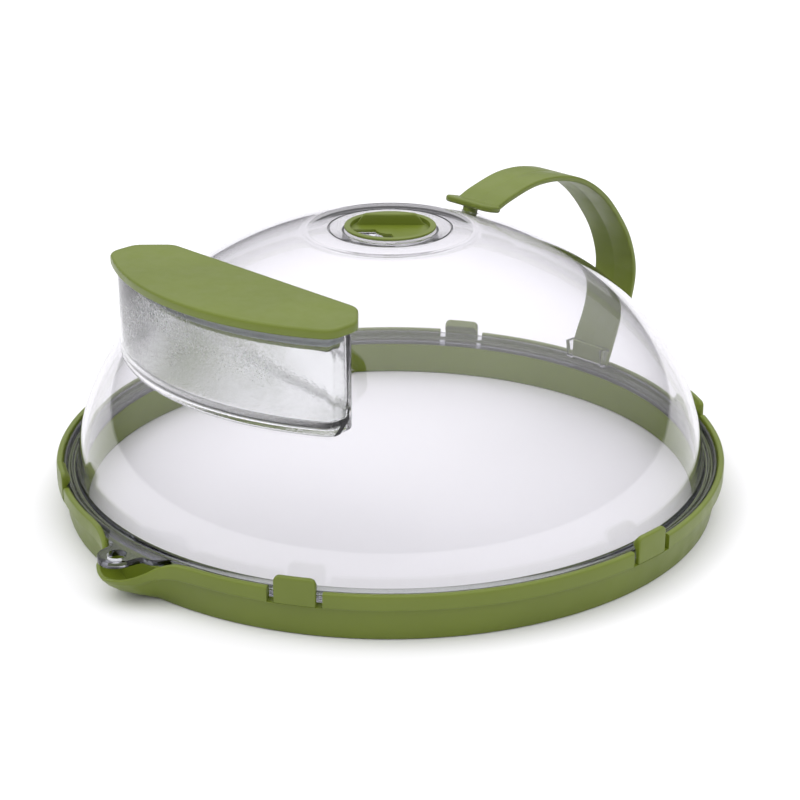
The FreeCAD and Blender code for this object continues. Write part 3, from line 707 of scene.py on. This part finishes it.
def tank_rows(s, profile, radii, steps=5):
    """The tank's plan at the offset and height of each point of a rounded profile of (offset, height)."""
    rows = filleted(profile, radii, steps)
    plans = tank_outlines(s, rows[:, 0])
    z = np.broadcast_to(rows[:, 1][:, None, None], (*plans.shape[:2], 1))
    return np.concatenate([plans, z], -1)


def strap_line(dome):
    """Points along the strap's middle, from its foot through each bend into its head, and the length at each bend."""
    bends = [joint for joint in frame["joints"] if joint["name"].startswith("strap_bend_")]
    at = np.array([joint["pos_m"] for joint in bends]) / MM
    first = (at[0] - at[1]) / np.linalg.norm(at[0] - at[1])
    foot = at[0] + first * ((at[0][2] - FOOT[0][2]) / -first[2])
    end = (0.0, dome.peg_at + STRAP_END[0], dome_height(dome, dome.peg_at) + STRAP_END[1])
    line, total = spline(np.vstack([foot, at, end])[:, 1:], 400)
    s = np.linspace(0.0, total, len(line))
    near = [s[np.argmin(np.linalg.norm(line - point[1:], axis=1))] for point in at]
    return line, s, np.array(near), bends


def strap_grid(line, s, start, end, width, thick):
    """The strap's rounded section, with a faint crease along the middle of its faces, carried along its line."""
    want = np.linspace(start, end, 14)
    centre = np.stack([np.interp(want, s, line[:, i]) for i in (0, 1)], -1)
    ahead = np.stack([np.interp(want + 0.4, s, line[:, i]) for i in (0, 1)], -1)
    behind = np.stack([np.interp(want - 0.4, s, line[:, i]) for i in (0, 1)], -1)
    along = ahead - behind
    along /= np.linalg.norm(along, axis=1)[:, None]
    normal = np.stack([along[:, 1], -along[:, 0]], -1)
    w, t = 0.5 * width, 0.5 * thick
    half, deep = 0.5, 0.12
    corners = [(-w, t), (-w, -t), (-half, -t), (0.0, -t + deep), (half, -t),
               (w, -t), (w, t), (half, t), (0.0, t - deep), (-half, t)]
    section = filleted(corners, [0.8, 0.8, 0, 0, 0, 0.8, 0.8, 0, 0, 0], 5)
    x = np.broadcast_to(section[None, :, 0], (len(want), len(section)))
    yz = centre[:, None, :] + section[None, :, 1, None] * normal[:, None, :]
    return np.concatenate([x[..., None], yz], -1)


def leaning(points, foot, tilt):
    """Points of a piece drawn about its own foot, leaned back about X and moved to the foot."""
    y = points[..., 1] * math.cos(tilt) + points[..., 2] * math.sin(tilt)
    z = -points[..., 1] * math.sin(tilt) + points[..., 2] * math.cos(tilt)
    return np.stack([points[..., 0], y + foot[1], z + foot[2]], -1)


def rounded_block(half_x, y0, y1, z0, z1, corner, edge):
    """Box with rounded uprights and rounded ends: the rounded plan shrinks along a circle near its two ends."""
    middle = 0.5 * (y0 + y1)
    half_y = 0.5 * (y1 - y0)
    t = np.linspace(0.0, 0.5 * np.pi, 6)
    inset = np.concatenate([edge * (1 - np.sin(t)), edge * (1 - np.cos(t))])
    z = np.concatenate([z0 + edge * (1 - np.cos(t)), z1 - edge * (1 - np.sin(t))])
    sign = np.array([(-1, -1), (1, -1), (1, 1), (-1, 1)], float)
    half = np.stack([half_x - inset, half_y - inset], -1)[:, None, :]
    plan = filleted(sign * half, np.maximum(corner - inset, 0.05)[:, None] * np.ones(4), 6)
    return np.concatenate([plan + (0.0, middle), np.broadcast_to(z[:, None, None], (*plan.shape[:2], 1))], -1)


# ---------------------------------------------------------------- operators
class FOODCOVER_OT_base_ring(bpy.types.Operator):
    """Base ring with its band, shelf, slots and scooped ear"""
    bl_idname = "food_cover.base_ring"
    bl_label = "Base ring"

    def execute(self, context):
        s = lengths(settings("ring"))
        angle = ring_angles(s)
        corners, radii = ring_sections(s, angle)
        ring = surface("cover_ring", around(filleted(corners, radii, 5), angle), wrap_rows=True)
        settle(ring, "base", "green_plastic", finish_of("satin_green"), ["base_ring"])
        return {"FINISHED"}


class FOODCOVER_OT_clips(bpy.types.Operator):
    """Six clips that hold the dome's flange"""
    bl_idname = "food_cover.clips"
    bl_label = "Clips"

    def execute(self, context):
        s = lengths(settings("ring"))
        for number, degrees in enumerate((30, 90, 150, 210, 270, 330), 1):
            clip = surface("clip_tongue_" + str(number), clip_grid(s, math.radians(degrees)), caps=True)
            name = "clip_" + str(number)
            settle(clip, name, "green_plastic", finish_of("satin_green"), [name])
        return {"FINISHED"}


class FOODCOVER_OT_dome(bpy.types.Operator):
    """Clear dome with its crown, vent opening, tank opening and peg hole"""
    bl_idname = "food_cover.dome"
    bl_label = "Dome"

    def execute(self, context):
        s = lengths(settings("dome"))
        dome = revolved("dome_cover", dome_profile(s), steps=256)
        crown = crown_of(s)
        outline = sector_outline(VENT_INNER, VENT_OUTER, VENT_FROM, VENT_TO, corner=0.8)
        cut_away(dome, lofted("vent_cut", [(outline, crown - 12.0), (outline, crown + 3.0)]))
        tank = lengths(settings("tank"))
        plan = clean(tank_outlines(tank, CUT_MARGIN)[0])
        cut_away(dome, lofted("tank_cut", [(plan, TANK[0][2] - CUT_MARGIN), (plan, crown + 20.0)]))
        hole = raised([(disc(PEG_HOLE_R, PEG_HOLE_R), height) for height in (-12.0, 12.0)])
        foot = (0.0, s.peg_at, dome_height(s, s.peg_at))
        cut_away(dome, surface("peg_cut", leaning(hole, foot, PEG_TILT), caps=True))
        settle(dome, "dome", "clear_plastic", finish_of("clear_wall"), ["dome_shell"])
        return {"FINISHED"}


class FOODCOVER_OT_flange(bpy.types.Operator):
    """Ridged flange of the dome with its hanging lug, and the finish of the strap's pocket"""
    bl_idname = "food_cover.flange"
    bl_label = "Flange"

    def execute(self, context):
        outer = FLANGE_EDGE
        lip = outer - FLANGE_LIP
        plate = SEAT_Z + FLANGE_PLATE
        ridge_far, ridge_near = outer - RIDGE_AT[0], outer - RIDGE_AT[1]
        skin = DOME_R + 0.05
        corners = [(skin, SEAT_Z), (outer, SEAT_Z), (outer, FLANGE_TOP), (lip, FLANGE_TOP), (lip, plate),
                   (ridge_far, plate), (ridge_far, plate + RIDGE_H), (ridge_near, plate + RIDGE_H),
                   (ridge_near, plate), (skin + FLANGE_FOOT, plate), (skin, FLANGE_TOP)]
        radii = [0.2, 0.5, 0.6, 0.6, 0.5, 0.5, 0.35, 0.35, 0.4, 0.5, 0.1]
        flange = revolved("flange_rim", filleted(corners, radii, 5), steps=256)
        settle(flange, "dome", "clear_plastic", finish_of("clear_flange"), ["dome_flange"])
        lug_y = RIM[0][1] + LUG_R
        root_y = -math.sqrt(outer ** 2 - LUG_ROOT ** 2) + LUG_BURIED
        turn = np.linspace(0.0, -np.pi, 25)
        nose = np.stack([LUG_R * np.cos(turn), lug_y + LUG_R * np.sin(turn)], -1)
        waist = [(12.3, 0.55 * root_y + 0.45 * lug_y), (8.4, lug_y + 4.6)]
        side = spline([(LUG_ROOT, root_y), *waist, nose[0]], 16)[0][:-1]
        x = -LUG_ROOT * np.linspace(1.0, -1.0, 13)[1:-1]
        back = np.stack([x, -np.sqrt(outer ** 2 - x ** 2) + LUG_BURIED], -1)
        plan = np.vstack([side, nose, (side * (-1.0, 1.0))[::-1], back])
        middle = plan.mean(0)
        top = RIM_Z - 0.5
        low = top - LUG_T
        levels = [(low + depth, share) for depth, share in LUG_EDGE]
        levels += [(top - depth, share) for depth, share in LUG_EDGE[::-1]]
        rows = [((plan - middle) * share + middle, z) for z, share in levels]
        lug = lofted("hanging_lug", rows)
        hole = disc(LUG_HOLE_R, LUG_HOLE_R) + (0.0, lug_y)
        cut_away(lug, lofted("hole_cut", [(hole, 0.0), (hole, 40.0)]))
        settle(lug, "dome", "clear_plastic", finish_of("clear_flange"))
        pocket = frame["nodes"]["strap_pocket"]
        pocket.data.materials.clear()
        pocket.data.materials.append(finish_of("clear_wall"))
        pocket.visible_shadow = False
        return {"FINISHED"}


class FOODCOVER_OT_tank(bpy.types.Operator):
    """Clear water tank with its floor, skirt and steam hole"""
    bl_idname = "food_cover.tank"
    bl_label = "Tank"

    def execute(self, context):
        s = lengths(settings("tank"))
        top, foot = TANK[1][2], TANK[0][2]
        floor = top - s.depth
        wall = -s.wall
        start = wall - TURNED_IN
        profile = [(start, floor + s.wall), (wall, floor + s.wall), (wall, top), (0.0, top), (0.0, foot),
                   (wall, foot), (wall, floor), (start, floor)]
        grid = tank_rows(s, profile, [0, 1.2, 0.4, 0.6, 0.6, 0.4, 1.0, 0])
        tank = surface("tank_walls", grid, caps=True)
        x, z = (disc(*STEAM_HALF, count=48) + (STEAM_AT[0], floor + s.wall + STEAM_AT[1])).T
        rows = [np.stack([x, np.full(len(x), -s.flat_y + y), z], -1) for y in (-3.0, 3.0)]
        cut_away(tank, surface("steam_cut", np.array(rows), caps=True))
        settle(tank, "dome", "clear_plastic", finish_of("misted_wall"), ["water_tank"])
        return {"FINISHED"}


class FOODCOVER_OT_lid(bpy.types.Operator):
    """Tank lid with its plug, and the silicone seal round the plug"""
    bl_idname = "food_cover.lid"
    bl_label = "Lid"

    def execute(self, context):
        s = lengths(settings("tank"))
        bottom, top = LID[0][2], LID[1][2]
        low = TANK[1][2] + LID_GAP
        over, plug = s.lid_over, -s.wall - PLUG_GAP
        groove = plug - GROOVE
        foot_top, shoulder = SEAL[0][2], SEAL[1][2]
        profile = [(over - 3.5, top), (over, top), (over, low), (plug, low), (plug, shoulder), (groove, shoulder),
                   (groove, foot_top), (plug, foot_top), (plug, bottom), (plug - TURNED_IN, bottom)]
        grid = tank_rows(s, profile, [0, s.lid_round, 0.5, 0.3, 0.3, 0.3, 0.3, 0.4, 0.6, 0])
        lid = surface("lid_plate", grid, caps=True)
        settle(lid, "tank_lid", "green_plastic", finish_of("satin_green"), ["tank_lid"])
        outer = -s.wall - SEAL_GAP
        inner = outer - LIP
        fifth = (shoulder - foot_top) / 5.0
        lips = [(groove, foot_top), (inner, foot_top), (outer, foot_top + fifth), (inner, foot_top + 2 * fifth),
                (inner, foot_top + 3 * fifth), (outer, foot_top + 4 * fifth), (inner, shoulder), (groove, shoulder)]
        seal = surface("seal_ring", tank_rows(s, lips, [0.2, 0.2, 0.3, 0.2, 0.2, 0.3, 0.2, 0.2]), wrap_rows=True)
        settle(seal, "tank_lid", "silicone_seal", finish_of("milky_seal"), ["lid_seal"])
        return {"FINISHED"}


class FOODCOVER_OT_knob(bpy.types.Operator):
    """Vent knob: a shallow cup with a vent opening and a bowed grip"""
    bl_idname = "food_cover.knob"
    bl_label = "Knob"

    def execute(self, context):
        s = lengths(settings("dome"))
        crown = crown_of(s)
        rim_low = crown + KNOB_GAP
        rim_top = rim_low + KNOB_RIM_T
        knob_r, cup_r = s.well_r + KNOB_OVER, s.well_r - CUP_GAP
        floor_low = crown - s.well_depth + KNOB_GAP
        floor_top = floor_low + KNOB_FLOOR_T
        barb = crown - s.well_depth - s.well_floor - BARB_GAP
        tip = barb - PIN_TIP
        inner_r = knob_r - KNOB_RIM_W
        corners = [(0.0, floor_top), (0.0, tip), (PIN_TIP_R, tip), (PIN_BARB_R, barb), (PIN_R, barb),
                   (PIN_R, floor_low), (cup_r, floor_low), (cup_r, rim_low), (knob_r, rim_low), (knob_r, rim_top),
                   (inner_r, rim_top), (inner_r, floor_top)]
        radii = [0, 0, 0.3, 0.1, 0.1, 0.2, 0.3, 0.2, 0.25, 0.4, 0.35, 0.3]
        knob = revolved("knob_cup", clean(filleted(corners, radii, 5)), steps=192)
        outline = sector_outline(VENT_INNER, inner_r - 0.5, VENT_FROM, VENT_TO, corner=0.7)
        cut_away(knob, lofted("knob_cut", [(outline, floor_low - 1.0), (outline, floor_top + 0.5)]))
        settle(knob, "vent_knob", "green_plastic", finish_of("satin_green"), ["vent_knob"])
        x = np.linspace(-GRIP_HALF, GRIP_HALF, 61)
        height = GRIP_H * smoothstep((GRIP_HALF - np.abs(x)) / GRIP_RISE) + 0.05
        thick = GRIP_T[0] + GRIP_T[1] * (1.0 - (x / GRIP_HALF) ** 2)
        base = np.full_like(x, GRIP_BACK)
        low = np.full_like(x, -GRIP_BURIED)
        section = np.stack([np.stack([base, low], -1), np.stack([base + thick, low], -1),
                            np.stack([base + thick - 0.25, height], -1), np.stack([base + 0.25, height], -1)], 1)
        upper = np.minimum(0.8, 0.4 * np.minimum(thick - 0.5, height))
        radii = np.stack([np.zeros_like(x), np.zeros_like(x), upper, upper], 1)
        outline = filleted(section, np.maximum(radii, 0.0), 6)
        across = np.broadcast_to(x[:, None], outline.shape[:2])
        c, d = math.cos(GRIP_TURN), math.sin(GRIP_TURN)
        points = np.stack([c * across - d * outline[..., 0], d * across + c * outline[..., 0],
                           outline[..., 1] + floor_top], -1)
        grip = surface("knob_grip", points, caps=True, sharp=CRISP_SMALL)
        settle(grip, "vent_knob", "green_plastic", finish_of("satin_green"))
        return {"FINISHED"}


class FOODCOVER_OT_strap(bpy.types.Operator):
    """Flexible strap from its pocket to the peg on the dome"""
    bl_idname = "food_cover.strap"
    bl_label = "Strap"

    def execute(self, context):
        green = finish_of("satin_green")
        dome = lengths(settings("dome"))
        line, s, near, bends = strap_line(dome)
        middles = 0.5 * (near[1:] + near[:-1])
        edges = np.concatenate([[0.0], middles, [s[-1]]])
        nodes = ["strap_foot"] + ["strap_link_" + str(n) for n in range(1, 10)]
        for number, joint in enumerate(bends):
            grid = strap_grid(line, s, edges[number], edges[number + 1], STRAP_W, STRAP_T)
            piece = surface("strap_run_" + str(number + 1), grid, caps=True, sharp=CRISP_SMALL)
            piece.data.materials.append(green)
            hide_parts(nodes[number])
            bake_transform(piece)
        foot = (0.0, dome.peg_at, dome_height(dome, dome.peg_at))
        block = leaning(rounded_block(HEAD_HALF, *HEAD_Y, *HEAD_Z, corner=3.9, edge=0.9), foot, PEG_TILT)
        head = surface("strap_head", block, caps=True, sharp=CRISP_SMALL)
        settle(head, "strap_tab", "green_plastic", green, ["strap_tab"])
        peg = raised([(disc(r, r), z) for r, z in PEG_ROWS])
        settle(surface("strap_peg", leaning(peg, foot, PEG_TILT), caps=True), "strap_tab", "green_plastic", green)
        plate_y = DOME_R + PLATE_GAP
        low = FLANGE_TOP + PLATE_UP
        half, thick, tall = PLATE_SIZE
        block = rounded_block(half, plate_y, plate_y + thick, low, low + tall, corner=0.4, edge=0.4)
        settle(surface("strap_plate", block, caps=True, sharp=CRISP_SMALL), "dome", "green_plastic", green)
        block = rounded_block(NECK_HALF, plate_y + NECK_Y[0], plate_y + NECK_Y[1], low + NECK_Z[0], low + NECK_Z[1],
                              corner=0.2, edge=0.2)
        settle(surface("strap_neck", block, caps=True, sharp=CRISP_SMALL), "dome", "green_plastic", green)
        return {"FINISHED"}


class FOODCOVER_OT_stage(bpy.types.Operator):
    """Pale floor, soft studio light and the camera"""
    bl_idname = "food_cover.stage"
    bl_label = "Stage"

    def execute(self, context):
        view = settings("stage")
        scene = context.scene
        span = np.linspace(-FLOOR_HALF, FLOOR_HALF, 13)
        x, y = np.meshgrid(span, span, indexing="ij")
        floor = surface("floor", np.stack([x, y, np.full_like(x, FLOOR_Z)], -1), wrap_columns=False)
        material, tree, shader, place = new_finish("floor_paper")
        shader.inputs["Base Color"].default_value = PAPER
        tree.links.new(mapped(tree, noise(tree, place, 3.0), 0.85, 0.95), shader.inputs["Roughness"])
        shader.inputs["Specular IOR Level"].default_value = 0.0
        floor.data.materials.append(material)
        world = bpy.data.worlds.new("studio")
        scene.world = world
        world.use_nodes = True
        tree = world.node_tree
        split = tree.nodes.new("ShaderNodeSeparateXYZ")
        tree.links.new(tree.nodes.new("ShaderNodeTexCoord").outputs["Generated"], split.inputs["Vector"])
        sky = mapped(tree, split.outputs["Z"], *SKY, end=0.9)
        # The camera itself sees the backdrop at a strength of 1 or more.
        seen = node_of(tree, "ShaderNodeMath", operation="MAXIMUM")
        tree.links.new(sky, seen.inputs[0])
        tree.links.new(tree.nodes.new("ShaderNodeLightPath").outputs["Is Camera Ray"], seen.inputs[1])
        tree.links.new(seen.outputs["Value"], tree.nodes["Background"].inputs["Strength"])
        tree.nodes["Background"].inputs["Color"].default_value = LIGHT_TINT
        for name, at, side, power in LAMPS:
            data = bpy.data.lights.new(name, "AREA")
            data.size = side
            data.energy = power * view.light
            lamp = bpy.data.objects.new(name, data)
            scene.collection.objects.link(lamp)
            lamp.visible_glossy = False
            lamp.visible_transmission = False
            lamp.location = at
            lamp.rotation_euler = (-Vector(at)).to_track_quat("-Z", "Y").to_euler()
        level = math.cos(view.elevation)
        away = Vector((math.sin(view.azimuth) * level, -math.cos(view.azimuth) * level, math.sin(view.elevation)))
        data = bpy.data.cameras.new("camera")
        data.sensor_width = SENSOR
        data.lens = view.lens
        data.clip_start = 0.01
        data.clip_end = 50.0
        camera = bpy.data.objects.new("camera", data)
        scene.collection.objects.link(camera)
        camera.location = Vector(VIEW_MIDDLE) * MM + view.distance * away
        camera.rotation_euler = (-away).to_track_quat("-Z", "Y").to_euler()
        scene.camera = camera
        scene.view_settings.view_transform = "Standard"
        return {"FINISHED"}


class FOODCOVER_PT_panel(bpy.types.Panel):
    """Lists the cover's pieces and its sizes"""
    bl_idname = "FOODCOVER_PT_panel"
    bl_label = "Food cover"
    bl_space_type = "VIEW_3D"
    bl_region_type = "UI"
    bl_category = "Food cover"

    def draw(self, context):
        for kind in OPERATORS:
            self.layout.operator(kind.bl_idname)
        for name, group in GROUPS.items():
            box = self.layout.box()
            box.label(text=name.capitalize())
            for prop in group.__annotations__:
                box.prop(settings(name), prop)


GROUPS = {"ring": RingSizes, "dome": DomeSizes, "tank": TankSizes, "colours": Colours, "stage": StageSettings}
OPERATORS = (FOODCOVER_OT_stage, FOODCOVER_OT_base_ring, FOODCOVER_OT_clips, FOODCOVER_OT_dome, FOODCOVER_OT_flange,
             FOODCOVER_OT_tank, FOODCOVER_OT_lid, FOODCOVER_OT_knob, FOODCOVER_OT_strap)


def register():
    """Registers every class and gives the scene one group of settings for each entry in GROUPS."""
    for kind in (*GROUPS.values(), *OPERATORS, FOODCOVER_PT_panel):
        bpy.utils.register_class(kind)
    for name, group in GROUPS.items():
        setattr(bpy.types.Scene, "food_cover_" + name, bpy.props.PointerProperty(type=group))


def unregister():
    """Takes away what register added."""
    for name in GROUPS:
        delattr(bpy.types.Scene, "food_cover_" + name)
    for kind in reversed((*GROUPS.values(), *OPERATORS, FOODCOVER_PT_panel)):
        bpy.utils.unregister_class(kind)


def main():
    register()
    for kind in OPERATORS:
        group, name = kind.bl_idname.split(".")
        getattr(getattr(bpy.ops, group), name)()
    bpy.context.view_layer.update()


if __name__ == "__main__":
    main()
